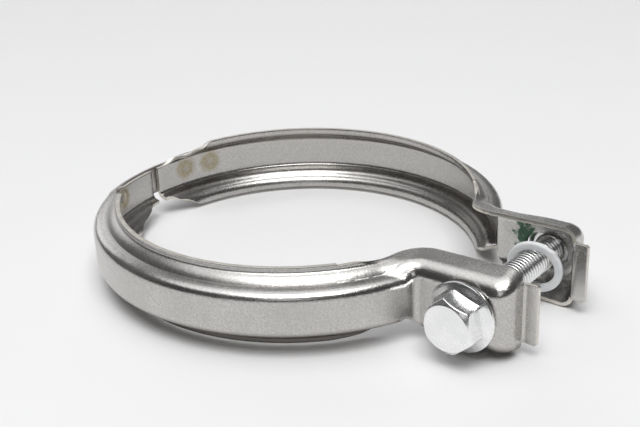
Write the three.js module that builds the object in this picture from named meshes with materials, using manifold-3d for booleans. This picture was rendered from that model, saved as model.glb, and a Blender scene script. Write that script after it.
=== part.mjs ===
// Profiled exhaust clamp: two stamped half shells joined by a spring strap at
// one side and drawn together by a flange bolt and a nut at the other.
// Millimetres, +Z up. The ring axis is vertical and the bolt lies along Y.
import * as THREE from 'three';
import { mergeVertices } from 'three/addons/utils/BufferGeometryUtils.js';
import Module from 'manifold-3d';

// ---- Driving dimensions ------------------------------------------------

// Ring section
const SHEET = 1.2;
const LIP_INNER_R = 50;
const WALL_OUTER_R = 58;
const HEIGHT = 20;
const LIP_TALL = 2;
const WALL_TOP_BELOW_RIM = 6;
const SHOULDER_WIDE = 1;
const SHOULDER_TALL = 1.4;

// Ears: pressed trays whose open sides face each other across the gap. Their
// rims lie a little behind the end tabs and flare out above and below the ring.
const FRONT_TAB = 11.4;
const REAR_TAB = 13.4;
const RIM_BEHIND_TAB = 1.4;
const SEAT_BEHIND_RIM = 8;
const EAR_END_X = 79.3;
const EAR_TALL = 18;
const EAR_FLARE = 2.4;
const EAR_EDGE_DEEP = 4;
const EAR_EDGE_TALL = 3.5;
const EAR_CORNER_R = 5;
const EAR_ROOT_R = 2;
const EAR_START_PAST_ROOT = 4.5;
const FRONT_EAR_INNER_R = 54.8;
const REAR_EAR_INNER_R = 52;
const TOP_LIP_END = 40;
const BOTTOM_LIP_END = 34;
const RELIEF_FROM = 21.5;
const RELIEF_TO = 31;
const RELIEF_TALL = 5.2;
const TAB_LONG = 3.8;
const TAB_TALL = 16.2;
const SEAT_DISC_R = 8.8;
const SEAT_DISC_RAISED = 0.4;
const HOLE_R = 4.6;
const REAR_SLOT_REACH = 1.7;

// Hinge side, angles in degrees round the ring
const HINGE_ANGLE = 182.2;
const HINGE_GAP_ANGLE = 3.2;
const STRAP_THICK = 1;
const STRAP_TALL = 8.4;
const STRAP_SPAN_ANGLE = 44.6;
const STRAP_CLEARANCE = 0.12;

// M8 flange bolt and low nut, and the nylon ring that keeps the bolt in
const BOLT_X = 67.7;
const BOLT_Z = 9.6;
const THREAD_R = 3.95;
const BOLT_LENGTH = 50;
const FLANGE_R = 9.2;
const FLANGE_EDGE = 0.9;
const HEX_FLATS = 13;
const HEAD_TURN = -11;
const NUT_TURN = 30;
const HEAD_TALL = 7.6;
const FLANGE_TALL = 1.4;
const HEAD_CHAMFER = 0.6;
const NUT_TALL = 4;
const NUT_BORE_R = 4.02;
const HEAD_GAP = 0.5;
const NUT_GAP = 0.5;
const RETAINER_INNER_R = 5.65;
const RETAINER_OUTER_R = 7.6;
const RETAINER_THICK = 1.4;
const RETAINER_X = 69;
const RETAINER_Y = 12.7;
const RETAINER_Z = 9.03;
const RETAINER_TILT = 9;
const RETAINER_TURN = 7;

const STRAP_OUTER_R = WALL_OUTER_R + STRAP_CLEARANCE + STRAP_THICK;
const OVERALL_END_X = EAR_END_X + TAB_LONG;

const RING_STEPS = 120;
const ROUND_STEPS = 32;

// ---- Solids ---------------------------------------------------------------

const wasm = await Module();
wasm.setup();
const rad = THREE.MathUtils.degToRad;

function signedVolume(points, corners) {
  const [a, b, c] = [new THREE.Vector3(), new THREE.Vector3(), new THREE.Vector3()];
  let sum = 0;
  for (let i = 0; i < corners.length; i += 3) {
    a.fromBufferAttribute(points, corners[i]);
    b.fromBufferAttribute(points, corners[i + 1]);
    c.fromBufferAttribute(points, corners[i + 2]);
    sum += a.dot(b.cross(c));
  }
  return sum;
}

function toSolid(geometry) {
  const plain = geometry.index ? geometry.toNonIndexed() : geometry.clone();
  plain.deleteAttribute('normal');
  plain.deleteAttribute('uv');
  const merged = mergeVertices(plain, 1e-4);
  const all = merged.index.array;
  const inward = signedVolume(merged.attributes.position, all) < 0;
  const corners = [];
  for (let i = 0; i < all.length; i += 3) {
    const [a, b, c] = all.slice(i, i + 3);
    if (a !== b && b !== c && c !== a) corners.push(a, ...(inward ? [c, b] : [b, c]));
  }
  return new wasm.Manifold(new wasm.Mesh({
    numProp: 3,
    vertProperties: new Float32Array(merged.attributes.position.array),
    triVerts: new Uint32Array(corners),
  }));
}

function toMesh(name, solid, look) {
  const { vertProperties, triVerts } = solid.getMesh();
  const geometry = new THREE.BufferGeometry();
  geometry.setAttribute('position', new THREE.BufferAttribute(vertProperties, 3));
  geometry.setIndex(new THREE.BufferAttribute(triVerts, 1));
  geometry.computeVertexNormals();
  const mesh = new THREE.Mesh(geometry, new THREE.MeshStandardMaterial(look));
  mesh.name = name;
  return mesh;
}

// An outline in plan, raised along Z
function raised(points, zLow, zHigh) {
  const geometry = new THREE.ExtrudeGeometry(new THREE.Shape(points), {
    depth: zHigh - zLow,
    bevelEnabled: false,
  });
  geometry.translate(0, 0, zLow);
  return toSolid(geometry);
}

// An outline in plan, raised both ways from the ear's mid height, with its top
// and bottom edges rounded. flare(x, y) is how much further out it ends there.
function raisedTray(points, tall, edgeDeep, edgeTall, flare) {
  const geometry = new THREE.ExtrudeGeometry(new THREE.Shape(points), {
    depth: tall - 2 * edgeTall,
    bevelThickness: edgeTall,
    bevelSize: edgeDeep,
    bevelOffset: -edgeDeep,
    bevelSegments: 5,
  });
  geometry.translate(0, 0, edgeTall - tall / 2);
  const position = geometry.attributes.position;
  for (let i = 0; i < position.count; i += 1) {
    const z = position.getZ(i);
    const spread = Math.sign(z) * flare(position.getX(i), position.getY(i));
    position.setZ(i, HEIGHT / 2 + z + spread);
  }
  return toSolid(geometry);
}

function boxBetween(low, high) {
  const size = high.map((v, i) => v - low[i]);
  const geometry = new THREE.BoxGeometry(...size);
  geometry.translate(...low.map((v, i) => v + size[i] / 2));
  return toSolid(geometry);
}

function closedOutline(points) {
  const outline = points.map(([r, along]) => new THREE.Vector2(r, along));
  outline.push(outline[0].clone());
  return outline;
}

// A closed half section [r, z] turned round Z
function turned(points) {
  const geometry = new THREE.LatheGeometry(closedOutline(points), RING_STEPS);
  geometry.rotateX(Math.PI / 2);
  return toSolid(geometry);
}

// A closed half section [r, y] turned round a line along Y
function turnedAlongY(points, x, z) {
  const geometry = new THREE.LatheGeometry(closedOutline(points), ROUND_STEPS);
  geometry.translate(x, 0, z);
  return toSolid(geometry);
}

function ringPoint(radius, degrees) {
  return new THREE.Vector2(radius * Math.cos(rad(degrees)), radius * Math.sin(rad(degrees)));
}

// Part of a flat ring in plan, between two angles
function sector(innerR, outerR, fromDegrees, toDegrees) {
  const steps = Math.ceil((toDegrees - fromDegrees) / 3);
  const outer = [];
  const inner = [];
  for (let i = 0; i <= steps; i += 1) {
    const angle = fromDegrees + (toDegrees - fromDegrees) * i / steps;
    outer.push(ringPoint(outerR, angle));
    inner.unshift(ringPoint(innerR, angle));
  }
  return [...outer, ...inner];
}

// ---- Ring section ---------------------------------------------------------

// Upper half of the section's skin, from the lip's edge out to the wall, moved
// in by offset
function upperSkin(offset, lipTop = HEIGHT) {
  const lipR = LIP_INNER_R + SHEET - offset;
  const wallR = WALL_OUTER_R - offset;
  const wallTop = HEIGHT - WALL_TOP_BELOW_RIM;
  const slope = (WALL_TOP_BELOW_RIM - LIP_TALL - SHOULDER_TALL)
    / (WALL_OUTER_R - SHOULDER_WIDE - LIP_INNER_R - SHEET);
  const drop = offset * (Math.hypot(1, slope) - slope);
  return [
    [lipR, lipTop],
    [lipR, HEIGHT - LIP_TALL - drop],
    [wallR - SHOULDER_WIDE, wallTop + SHOULDER_TALL - drop],
    [wallR - SHOULDER_WIDE * 0.35, wallTop + SHOULDER_TALL * 0.6 - drop],
    [wallR, wallTop - drop * 0.4],
  ];
}

// A full skin, closed off inside the lips
function ringBlank(offset, overrun) {
  const top = upperSkin(offset, HEIGHT + overrun);
  const bottom = top.map(([r, z]) => [r, HEIGHT - z]);
  const innerR = LIP_INNER_R - 15;
  return turned([[innerR, -overrun], ...bottom, ...top.reverse(), [innerR, HEIGHT + overrun]]);
}

// ---- Half shells ----------------------------------------------------------

// Plan of an ear's tray, moved in by offset. It leaves the ring's wall through a
// concave root and runs past the rim, where the blank is cut off square.
function earOutline(rim, offset) {
  const seat = rim + SEAT_BEHIND_RIM;
  const rootY = seat + EAR_ROOT_R;
  const rootX = Math.sqrt((WALL_OUTER_R + EAR_ROOT_R) ** 2 - rootY ** 2);
  const rootAngle = rootAngleOf(rim);
  const startAngle = rootAngle + EAR_START_PAST_ROOT - THREE.MathUtils.radToDeg(offset / LIP_INNER_R);
  const pastRim = rim - EAR_EDGE_DEEP - 2;
  const cornerX = EAR_END_X - EAR_CORNER_R;
  const points = [
    ringPoint(LIP_INNER_R - 5, startAngle),
    ringPoint(WALL_OUTER_R - offset - 0.1, startAngle),
  ];
  for (let i = 0; i <= 6; i += 1) {
    const turn = rootAngle + 180 + (90 - rootAngle) * i / 6;
    points.push(ringPoint(EAR_ROOT_R + offset, turn).add(new THREE.Vector2(rootX, rootY)));
  }
  for (let i = 0; i <= 5; i += 1) {
    const corner = new THREE.Vector2(cornerX, seat - EAR_CORNER_R);
    points.push(ringPoint(EAR_CORNER_R - offset, 90 - 18 * i).add(corner));
  }
  points.push(new THREE.Vector2(EAR_END_X - offset, pastRim));
  points.push(new THREE.Vector2(LIP_INNER_R - 8, pastRim));
  return points;
}

// Direction of the root's centre, seen from the ring's axis
function rootAngleOf(rim) {
  return THREE.MathUtils.radToDeg(Math.asin((rim + SEAT_BEHIND_RIM + EAR_ROOT_R) / (WALL_OUTER_R + EAR_ROOT_R)));
}

// Bolt hole through an ear's seat, stretched along X by reach both ways
function boltHole(yLow, yHigh, reach) {
  const round = [[0, yLow], [HOLE_R, yLow], [HOLE_R, yHigh], [0, yHigh]];
  if (reach === 0) return turnedAlongY(round, BOLT_X, HEIGHT / 2);
  return turnedAlongY(round, BOLT_X - reach, HEIGHT / 2)
    .add(turnedAlongY(round, BOLT_X + reach, HEIGHT / 2))
    .add(boxBetween(
      [BOLT_X - reach, yLow, HEIGHT / 2 - HOLE_R],
      [BOLT_X + reach, yHigh, HEIGHT / 2 + HOLE_R],
    ));
}

// The two halves are near mirror images. side is -1 at the front and 1 at the
// rear; distances from the X axis and angles round the ring are given for the
// rear half and flipped for the front one.
function halfShell({ side, tabY, earInnerR, hingeEnd, trimShoulder, trimLip, slotReach }) {
  const own = (points) => points.map((p) => new THREE.Vector2(p.x, p.y * side));
  const span = (low, high) => [low * side, high * side].sort((a, b) => a - b);
  const rim = tabY + RIM_BEHIND_TAB;
  const seat = rim + SEAT_BEHIND_RIM;
  const rootAngle = rootAngleOf(rim);

  const halfRing = ringBlank(0, 0).intersect(
    raised(own(sector(LIP_INNER_R - 2, WALL_OUTER_R + 2, rootAngle + 0.5, hingeEnd)), -1, HEIGHT + 1),
  );
  const flare = (x, y) => EAR_FLARE * x / EAR_END_X * (seat - y * side) / SEAT_BEHIND_RIM;
  const tray = raisedTray(own(earOutline(rim, 0)), EAR_TALL, EAR_EDGE_DEEP, EAR_EDGE_TALL, flare);
  const trayHollow = raisedTray(
    own(earOutline(rim, SHEET)),
    EAR_TALL - 2 * SHEET,
    EAR_EDGE_DEEP - SHEET,
    EAR_EDGE_TALL - SHEET,
    flare,
  );
  const [gapLow, gapHigh] = span(-40, rim);
  const gap = boxBetween([0, gapLow, -5], [OVERALL_END_X + 1, gapHigh, HEIGHT + 5]);

  const [discLow, discHigh] = span(seat - SHEET - SEAT_DISC_RAISED, seat - SHEET / 2);
  const disc = turnedAlongY(
    [[0, discLow], [SEAT_DISC_R, discLow], [SEAT_DISC_R, discHigh], [0, discHigh]],
    BOLT_X,
    HEIGHT / 2,
  );
  const [tabLow, tabHigh] = span(tabY, tabY + SHEET);
  const tabPlate = boxBetween(
    [EAR_END_X - SHEET, tabLow, (HEIGHT - TAB_TALL) / 2],
    [OVERALL_END_X, tabHigh, (HEIGHT + TAB_TALL) / 2],
  );
  const [bendLow, bendHigh] = span(tabY, rim + SHEET);
  const tabBend = boxBetween(
    [EAR_END_X - SHEET, bendLow, (HEIGHT - TAB_TALL) / 2],
    [EAR_END_X, bendHigh, (HEIGHT + TAB_TALL) / 2],
  );
  const hole = boltHole(...span(seat - SHEET - 2, seat + 1), slotReach);

  // Both lips run out before the ear, whose inner edge draws away from the pipe
  const lipCut = (lipEnd, zLow, zHigh) => raised(own([
    ringPoint(LIP_INNER_R - 4, lipEnd),
    ringPoint(LIP_INNER_R + SHEET + 0.5, lipEnd),
    ringPoint((LIP_INNER_R + SHEET + earInnerR) / 2, rootAngle),
    ringPoint(earInnerR, 10),
    ringPoint(LIP_INNER_R - 4, 10),
  ]), zLow, zHigh);

  // Under the ear's root the lower flange is relieved up to the wall
  const relief = raised(
    own(sector(LIP_INNER_R - 2, WALL_OUTER_R + 3, RELIEF_FROM, RELIEF_TO)),
    -5,
    RELIEF_TALL,
  );

  // Towards the hinge the upper flange is trimmed off along a slanting line
  const hingeCut = raised(own([
    ringPoint(WALL_OUTER_R + 3, hingeEnd + 2),
    ringPoint(WALL_OUTER_R + 1, trimShoulder),
    ringPoint(LIP_INNER_R - 1, trimLip),
    ringPoint(LIP_INNER_R - 8, trimLip),
    ringPoint(LIP_INNER_R - 8, hingeEnd + 2),
  ]), HEIGHT - WALL_TOP_BELOW_RIM + 0.2, HEIGHT + 1);

  return halfRing.add(tray)
    .subtract(trayHollow)
    .subtract(ringBlank(SHEET, 1))
    .subtract(gap)
    .subtract(lipCut(TOP_LIP_END, HEIGHT - LIP_TALL + 0.2, HEIGHT + 5))
    .subtract(lipCut(BOTTOM_LIP_END, -5, LIP_TALL - 0.2))
    .subtract(relief)
    .subtract(hingeCut)
    .add(disc)
    .add(tabPlate)
    .add(tabBend)
    .subtract(hole);
}

function hingeStrap() {
  const innerR = WALL_OUTER_R + STRAP_CLEARANCE;
  const from = HINGE_ANGLE - STRAP_SPAN_ANGLE / 2;
  return raised(
    sector(innerR, STRAP_OUTER_R, from, from + STRAP_SPAN_ANGLE),
    (HEIGHT - STRAP_TALL) / 2,
    (HEIGHT + STRAP_TALL) / 2,
  );
}

// ---- Fasteners --------------------------------------------------------------

// Hexagon standing on the plane y = baseY, towards direction (-1 or 1) along Y,
// with the corners of its far end chamfered
function hexagon(baseY, tall, direction, turn) {
  const at = (height) => baseY + direction * height;
  const cornerR = HEX_FLATS / Math.sqrt(3);
  const geometry = new THREE.CylinderGeometry(cornerR, cornerR, tall + 1, 6);
  geometry.rotateY(rad(turn));
  geometry.translate(BOLT_X, at(tall / 2), BOLT_Z);
  return toSolid(geometry).intersect(turnedAlongY([
    [0, at(0)],
    [cornerR + 0.2, at(0)],
    [cornerR + 0.2, at(tall - HEAD_CHAMFER)],
    [HEX_FLATS / 2 * 0.96, at(tall)],
    [0, at(tall)],
  ], BOLT_X, BOLT_Z));
}

function clampBolt() {
  const bearingY = -(FRONT_TAB + RIM_BEHIND_TAB + SEAT_BEHIND_RIM + HEAD_GAP);
  const endY = bearingY + BOLT_LENGTH;
  const shank = turnedAlongY([
    [0, bearingY - 1],
    [THREAD_R, bearingY - 1],
    [THREAD_R, endY - 1],
    [THREAD_R - 1, endY],
    [0, endY],
  ], BOLT_X, BOLT_Z);
  const flange = turnedAlongY([
    [0, bearingY],
    [FLANGE_R, bearingY],
    [FLANGE_R, bearingY - FLANGE_EDGE],
    [HEX_FLATS / Math.sqrt(3), bearingY - FLANGE_TALL],
    [0, bearingY - FLANGE_TALL],
  ], BOLT_X, BOLT_Z);
  return hexagon(bearingY, HEAD_TALL, -1, HEAD_TURN).add(flange).add(shank);
}

function lowNut() {
  const bearingY = REAR_TAB + RIM_BEHIND_TAB + SEAT_BEHIND_RIM + NUT_GAP;
  const bore = turnedAlongY([
    [0, bearingY - 1],
    [NUT_BORE_R, bearingY - 1],
    [NUT_BORE_R, bearingY + NUT_TALL + 1],
    [0, bearingY + NUT_TALL + 1],
  ], BOLT_X, BOLT_Z);
  return hexagon(bearingY, NUT_TALL, 1, NUT_TURN).subtract(bore);
}

function retainingRing() {
  const half = RETAINER_THICK / 2;
  return turnedAlongY([
    [RETAINER_INNER_R, -half],
    [RETAINER_OUTER_R, -half],
    [RETAINER_OUTER_R, half],
    [RETAINER_INNER_R, half],
  ], 0, 0)
    .rotate([RETAINER_TILT, 0, RETAINER_TURN])
    .translate([RETAINER_X, RETAINER_Y, RETAINER_Z]);
}

// ---- Assembly ---------------------------------------------------------------

const stainless = { color: 0xb4b0a8, roughness: 0.38, metalness: 1 };
const spring = { color: 0xa8a49c, roughness: 0.34, metalness: 1 };
const zinc = { color: 0xc3c6c6, roughness: 0.28, metalness: 1 };
const nylon = { color: 0xdfe3df, roughness: 0.5, metalness: 0 };

const frontShell = halfShell({
  side: -1,
  tabY: FRONT_TAB,
  earInnerR: FRONT_EAR_INNER_R,
  hingeEnd: 360 - HINGE_ANGLE - HINGE_GAP_ANGLE / 2,
  trimShoulder: 162,
  trimLip: 133,
  slotReach: 0,
});
const rearShell = halfShell({
  side: 1,
  tabY: REAR_TAB,
  earInnerR: REAR_EAR_INNER_R,
  hingeEnd: HINGE_ANGLE - HINGE_GAP_ANGLE / 2,
  trimShoulder: 177,
  trimLip: 163,
  slotReach: REAR_SLOT_REACH,
});

const group = new THREE.Group();
group.add(
  toMesh('front_shell', frontShell, stainless),
  toMesh('rear_shell', rearShell, stainless),
  toMesh('hinge_strap', hingeStrap(), spring),
  toMesh('clamp_bolt', clampBolt(), zinc),
  toMesh('clamp_nut', lowNut(), zinc),
  toMesh('retaining_ring', retainingRing(), nylon),
);

// The origin goes under the middle of the whole
const box = new THREE.Box3().setFromObject(group);
const middle = box.getCenter(new THREE.Vector3());
group.children.forEach((mesh) => mesh.geometry.translate(-middle.x, -middle.y, -box.min.z));

export default group;
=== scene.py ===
"""The looks of the profiled pipe clamp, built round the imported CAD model.

Shapes are worked out in millimetres with the ring's axis at x = y = 0 and the ring's lower lip at z = 0,
then moved into the frame of the CAD model and scaled to metres.
"""

import math

import bmesh
import bpy
import numpy as np
from mathutils import Matrix, Vector


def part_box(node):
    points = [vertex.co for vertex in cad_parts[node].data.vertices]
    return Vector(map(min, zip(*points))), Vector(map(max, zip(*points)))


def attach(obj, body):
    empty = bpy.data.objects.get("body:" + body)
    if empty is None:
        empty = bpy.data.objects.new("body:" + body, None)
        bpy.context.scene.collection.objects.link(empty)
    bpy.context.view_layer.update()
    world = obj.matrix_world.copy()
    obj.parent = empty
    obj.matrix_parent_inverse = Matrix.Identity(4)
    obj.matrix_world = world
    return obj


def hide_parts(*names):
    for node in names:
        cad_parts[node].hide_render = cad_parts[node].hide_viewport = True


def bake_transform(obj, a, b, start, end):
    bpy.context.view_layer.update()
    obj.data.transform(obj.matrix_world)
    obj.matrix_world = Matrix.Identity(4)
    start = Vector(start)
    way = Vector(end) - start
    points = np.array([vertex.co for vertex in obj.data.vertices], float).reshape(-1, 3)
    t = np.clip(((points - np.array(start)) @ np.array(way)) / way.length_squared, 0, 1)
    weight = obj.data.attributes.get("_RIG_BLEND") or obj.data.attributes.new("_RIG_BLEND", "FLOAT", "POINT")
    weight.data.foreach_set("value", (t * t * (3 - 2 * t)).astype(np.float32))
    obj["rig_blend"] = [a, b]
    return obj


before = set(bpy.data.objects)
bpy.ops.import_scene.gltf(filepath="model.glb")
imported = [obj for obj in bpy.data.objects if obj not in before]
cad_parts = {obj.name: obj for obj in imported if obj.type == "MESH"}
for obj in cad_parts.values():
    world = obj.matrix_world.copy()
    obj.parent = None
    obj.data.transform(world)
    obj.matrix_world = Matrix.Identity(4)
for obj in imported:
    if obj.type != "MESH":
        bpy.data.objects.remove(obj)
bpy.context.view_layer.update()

# ---- Driving dimensions, millimetres and degrees ---------------------------------------------------

METRES = 0.001
MID_Z = 10.0
SHEET = 1.2
WALL_R = 58.0
EDGE_ROUND = 0.2

FRONT_TAB = 11.4
REAR_TAB = 13.4
RIM_BEHIND_TAB = 1.4
SEAT_BEHIND_RIM = 8.0
EAR_ROOT_R = 2.0
EAR_CORNER_R = 5.0
EAR_END_X = 79.3
EAR_FLARE = 2.4
EAR_FLAT = 5.5
EAR_EDGE_DEEP = 4.0
EAR_EDGE_TALL = 3.5
TAB_END_X = 83.1
TAB_END_HALF_TALL = 8.0
TAB_BEND_R = 0.8
FRONT_SEAT = FRONT_TAB + RIM_BEHIND_TAB + SEAT_BEHIND_RIM
REAR_SEAT = REAR_TAB + RIM_BEHIND_TAB + SEAT_BEHIND_RIM

HOLE_R = 4.6
REAR_SLOT_REACH = 1.7
SEAT_DISC_R = 8.8
SEAT_DISC_FACE_R = 6.4
SEAT_DISC_RAISED = 0.4
SEAT_DISC_SUNK = 0.5

HINGE_ANGLE = 182.2
HINGE_GAP_ANGLE = 3.2
STRAP_THICK = 1.0
STRAP_TALL = 8.4
STRAP_SPAN_ANGLE = 44.6
STRAP_CLEARANCE = 0.12
STRAP_CORNER_R = 1.6
WELDS_FRONT = (199.0,)
WELDS_REAR = (169.6, 160.3)
WELD_ABOVE_MIDDLE = 0.8

BOLT_X = 67.7
BOLT_Z = 9.6
BOLT_LENGTH = 50.0
HEAD_GAP = 0.5
HEAD_TURN = 49
HEAD_TALL = 7.58
HEX_INNER_R = 6.5
HEX_CORNER_SOFT = 0.12
HEX_CORNER_BLEND = 22
HEX_FACE_R = 6.02
HEX_CHAMFER = 1.15
HEX_CHAMFER_WIDE = 1.46
FLANGE_R = 9.2
THREAD_PITCH = 1.25
THREAD_CREST_R = 3.95
THREAD_ROOT_R = 3.32
THREAD_START = 1.2
THREAD_STEPS = 14
NUT_TALL = 4.0
NUT_GAP = 0.5
NUT_FACE_R = 5.8
NUT_BORE_R = 4.02

RETAINER_PLACE = (69.0, 12.7, 9.03)
RETAINER_TURN = 7
RETAINER_TILT = 9
RETAINER_INNER_R = 5.42
RETAINER_OUTER_R = 7.6
RETAINER_HALF_THICK = 0.7
RETAINER_SOFT = 0.42

# Rows of the sheet's section: 0 is the middle of the wall, LAST_ROW the edge of the lip or the ear's rim
WALL_ROW = 10.0
SHOULDER_ROW = 18.0
BEAD_ROW = 26.0
LIP_FOOT_ROW = 36.0
LIP_ROW = 40.0
LAST_ROW = 46.0
ROW_BREAKS = [
    (0, WALL_ROW, 5),
    (WALL_ROW, SHOULDER_ROW, 9),
    (SHOULDER_ROW, BEAD_ROW, 12),
    (BEAD_ROW, LIP_FOOT_ROW, 11),
    (LIP_FOOT_ROW, LIP_ROW, 5),
    (LIP_ROW, LAST_ROW, 5),
]

# Where the sheet stops, as pairs of a station and a row. Stations are degrees round the ring down to the
# ear's root, then lower by one for each millimetre along the seat. The upper lip has a step where it
# narrows. Under the root the lower flange is cut away to the wall, REAR_ROOT_SHIFT degrees further round
# in the rear half. Towards the hinge both flanges taper off.
TOP_LIP_STEP = 40
TOP_NEAR_EAR = [(24, 46), (30, 45), (34, 43.4), (TOP_LIP_STEP - 0.05, 42.6), (TOP_LIP_STEP, 46)]
BOTTOM_NEAR_EAR = [(16.5, 46), (18, 32), (20, 18), (21, 13.5), (22, 13), (24, 12.7), (25.5, 16), (27, 28),
                   (29, 37), (32.5, 41.5), (37.5, 44), (42.5, 46)]
REAR_ROOT_SHIFT = 2.1
FRONT_TOP_NEAR_HINGE = [(141, 46), (144, 40), (148, 32), (152, 22), (158, 14), (163, 10.6)]
FRONT_BOTTOM_NEAR_HINGE = [(156, 46), (161, 38), (166.5, 33), (172, 24), (200, 12)]
REAR_TOP_NEAR_HINGE = [(163, 46), (167, 36), (171, 24), (175, 14), (178, 10.6)]
REAR_BOTTOM_NEAR_HINGE = [(168, 46), (172, 38), (176, 31), (179, 24), (200, 18)]

# The lower flange is a little less deep than the upper one, as a share, and its lip a little taller
LOWER_SHALLOWER = 0.1
LOWER_LIP_TALLER = 0.2

# Steps of the ring's columns in degrees, and where along X the rear ear's upper wall rises
RING_STEP = 1.2
REAR_EAR_LIFT = 1.0
LIFT_START_X = 58
LIFT_FULL_X = 70


def box_middle(node):
    low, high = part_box(node)
    return (low + high) / 2


SHIFT = np.array([box_middle("clamp_bolt").x / METRES - BOLT_X, 0.0,
                  box_middle("hinge_strap").z / METRES - MID_Z])


def to_frame(points):
    return (np.asarray(points, float) + SHIFT) * METRES


def smooth(start, end, x):
    t = np.clip((x - start) / (end - start), 0, 1)
    return t * t * (3 - 2 * t)


def polar(radius, degrees):
    return np.array([radius * math.cos(math.radians(degrees)), radius * math.sin(math.radians(degrees))])


def full_turn(steps):
    """Angles in radians, evenly round a circle."""
    return np.linspace(0, 2 * math.pi, steps + 1)[:-1]


# ---- The section of the sheet ----------------------------------------------------------------------

def bezier(a, b, c, t):
    t = t[:, None]
    return (1 - t) ** 2 * np.array(a) + 2 * t * (1 - t) * np.array(b) + t ** 2 * np.array(c)


# Corner points of the ring's section, each as depth from the wall and height from its middle
WALL_TOP = (0.0, 3.6)
BAND_START = (2.0, 6.25)
GROOVE = (4.0, 6.6)
LEDGE_END = (6.2, 8.45)
LIP_START = (6.8, 9.15)
LIP_TOP = 10.0


def ring_section(q):
    """Depth and height of the ring's section at rows q: wall, shoulder, band, groove, ledge and lip."""
    out = np.zeros((len(q), 2))
    wall = q <= WALL_ROW
    out[wall] = np.stack([q[wall] * 0, q[wall] / WALL_ROW * WALL_TOP[1]], 1)
    for low, high, start, pull, end in (
            (WALL_ROW, SHOULDER_ROW, WALL_TOP, (0.0, 5.7), BAND_START),
            (SHOULDER_ROW, BEAD_ROW, BAND_START, (3.1, 6.55), GROOVE),
            (BEAD_ROW, LIP_FOOT_ROW, GROOVE, (4.85, 7.82), LEDGE_END),
            (LIP_FOOT_ROW, LIP_ROW, LEDGE_END, (6.8, 8.72), LIP_START)):
        m = (q > low) & (q <= high)
        out[m] = bezier(start, pull, end, (q[m] - low) / (high - low))
    m = q > LIP_ROW
    t = (q[m] - LIP_ROW) / (LAST_ROW - LIP_ROW)
    out[m] = np.stack([LIP_START[0] + 0 * t, LIP_START[1] + (LIP_TOP - LIP_START[1]) * t], 1)
    return out


def ear_section(q):
    """Depth and height of the ear's pressed tray at rows q, before its flare."""
    out = np.zeros((len(q), 2))
    wall = q <= WALL_ROW
    out[wall] = np.stack([q[wall] * 0, q[wall] / WALL_ROW * EAR_FLAT], 1)
    m = (q > WALL_ROW) & (q <= BEAD_ROW)
    turn = np.pi / 2 * (q[m] - WALL_ROW) / (BEAD_ROW - WALL_ROW)
    out[m] = np.stack([EAR_EDGE_DEEP * (1 - np.cos(turn)), EAR_FLAT + EAR_EDGE_TALL * np.sin(turn)], 1)
    m = q > BEAD_ROW
    t = (q[m] - BEAD_ROW) / (LAST_ROW - BEAD_ROW)
    out[m] = np.stack([EAR_EDGE_DEEP + (SEAT_BEHIND_RIM - EAR_EDGE_DEEP) * t,
                       EAR_FLAT + EAR_EDGE_TALL + 0 * t], 1)
    return out


def section_rows():
    parts = [np.linspace(low, high, steps + 1)[1:] for low, high, steps in ROW_BREAKS]
    upper = np.concatenate([[0.0], *parts])
    return np.concatenate([-upper[:0:-1], upper])


# ---- Sheet surfaces --------------------------------------------------------------------------------

class Sheet:
    """A skin of quads, thickened into a closed solid with rounded cut edges."""

    def __init__(self):
        self.points = []
        self.grain = []
        self.wear_and_shade = []
        self.quads = []

    def add_grid(self, points, grain, wear_and_shade):
        columns, rows = points.shape[:2]
        first = len(self.points)
        self.points.extend(points.reshape(-1, 3))
        self.grain.extend(grain.reshape(-1, 2))
        self.wear_and_shade.extend(wear_and_shade.reshape(-1))
        for i in range(columns - 1):
            for j in range(rows - 1):
                a = first + i * rows + j
                self.quads.append((a, a + rows, a + rows + 1, a + 1))

    def skin(self, side):
        """The outer face alone, with its seams merged."""
        bm = bmesh.new()
        grain_layer = bm.verts.layers.float_vector.new("grain")
        wear_layer = bm.verts.layers.float.new("wear_and_shade")
        for p, g, w in zip(self.points, self.grain, self.wear_and_shade):
            v = bm.verts.new((p[0], p[1] * side, p[2]))
            v[grain_layer] = (g[0], g[1], 0)
            v[wear_layer] = float(w)
        bm.verts.ensure_lookup_table()
        for q in self.quads:
            bm.faces.new([bm.verts[k] for k in (q[::-1] if side > 0 else q)])
        bmesh.ops.remove_doubles(bm, verts=bm.verts, dist=0.012)
        bmesh.ops.dissolve_degenerate(bm, dist=0.004, edges=bm.edges)
        bm.normal_update()
        return bm

    def solid(self, name, materials, side=1, thick=SHEET):
        """The closed solid, mirrored in Y for side -1. The skin given is its outer face."""
        bm = self.skin(side)
        outer, faces = list(bm.verts), list(bm.faces)
        rim = [e for e in bm.edges if e.is_boundary]
        normals = {v: v.normal.copy() for v in outer}
        away = rim_directions(rim)
        inner_at = inner_points(outer, normals, away, thick)
        inner = {v: copied_vertex(bm, v, inner_at[v]) for v in outer}
        for f in faces:
            bm.faces.new([inner[v] for v in reversed(f.verts)])
        strip = {}
        for v, out in away.items():
            corner = rounded_edge(v.co, out, -normals[v]) + rounded_edge(inner_at[v], out, normals[v])[::-1]
            strip[v] = [v, *(copied_vertex(bm, v, at, wear_and_shade=1.0) for at in corner), inner[v]]
        for e in rim:
            loop = e.link_loops[0]
            a, b = strip[loop.vert], strip[loop.link_loop_next.vert]
            for k in range(len(a) - 1):
                f = bm.faces.new([a[k], a[k + 1], b[k + 1], b[k]])
                f.material_index = 1 if k in (1, 2, 3) else 0
        for v in bm.verts:
            v.co = Vector(to_frame(v.co))
        for f in bm.faces:
            f.smooth = True
        bmesh.ops.recalc_face_normals(bm, faces=bm.faces)
        mesh = bpy.data.meshes.new(name)
        bm.to_mesh(mesh)
        bm.free()
        for material in materials:
            mesh.materials.append(material)
        return mesh


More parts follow.
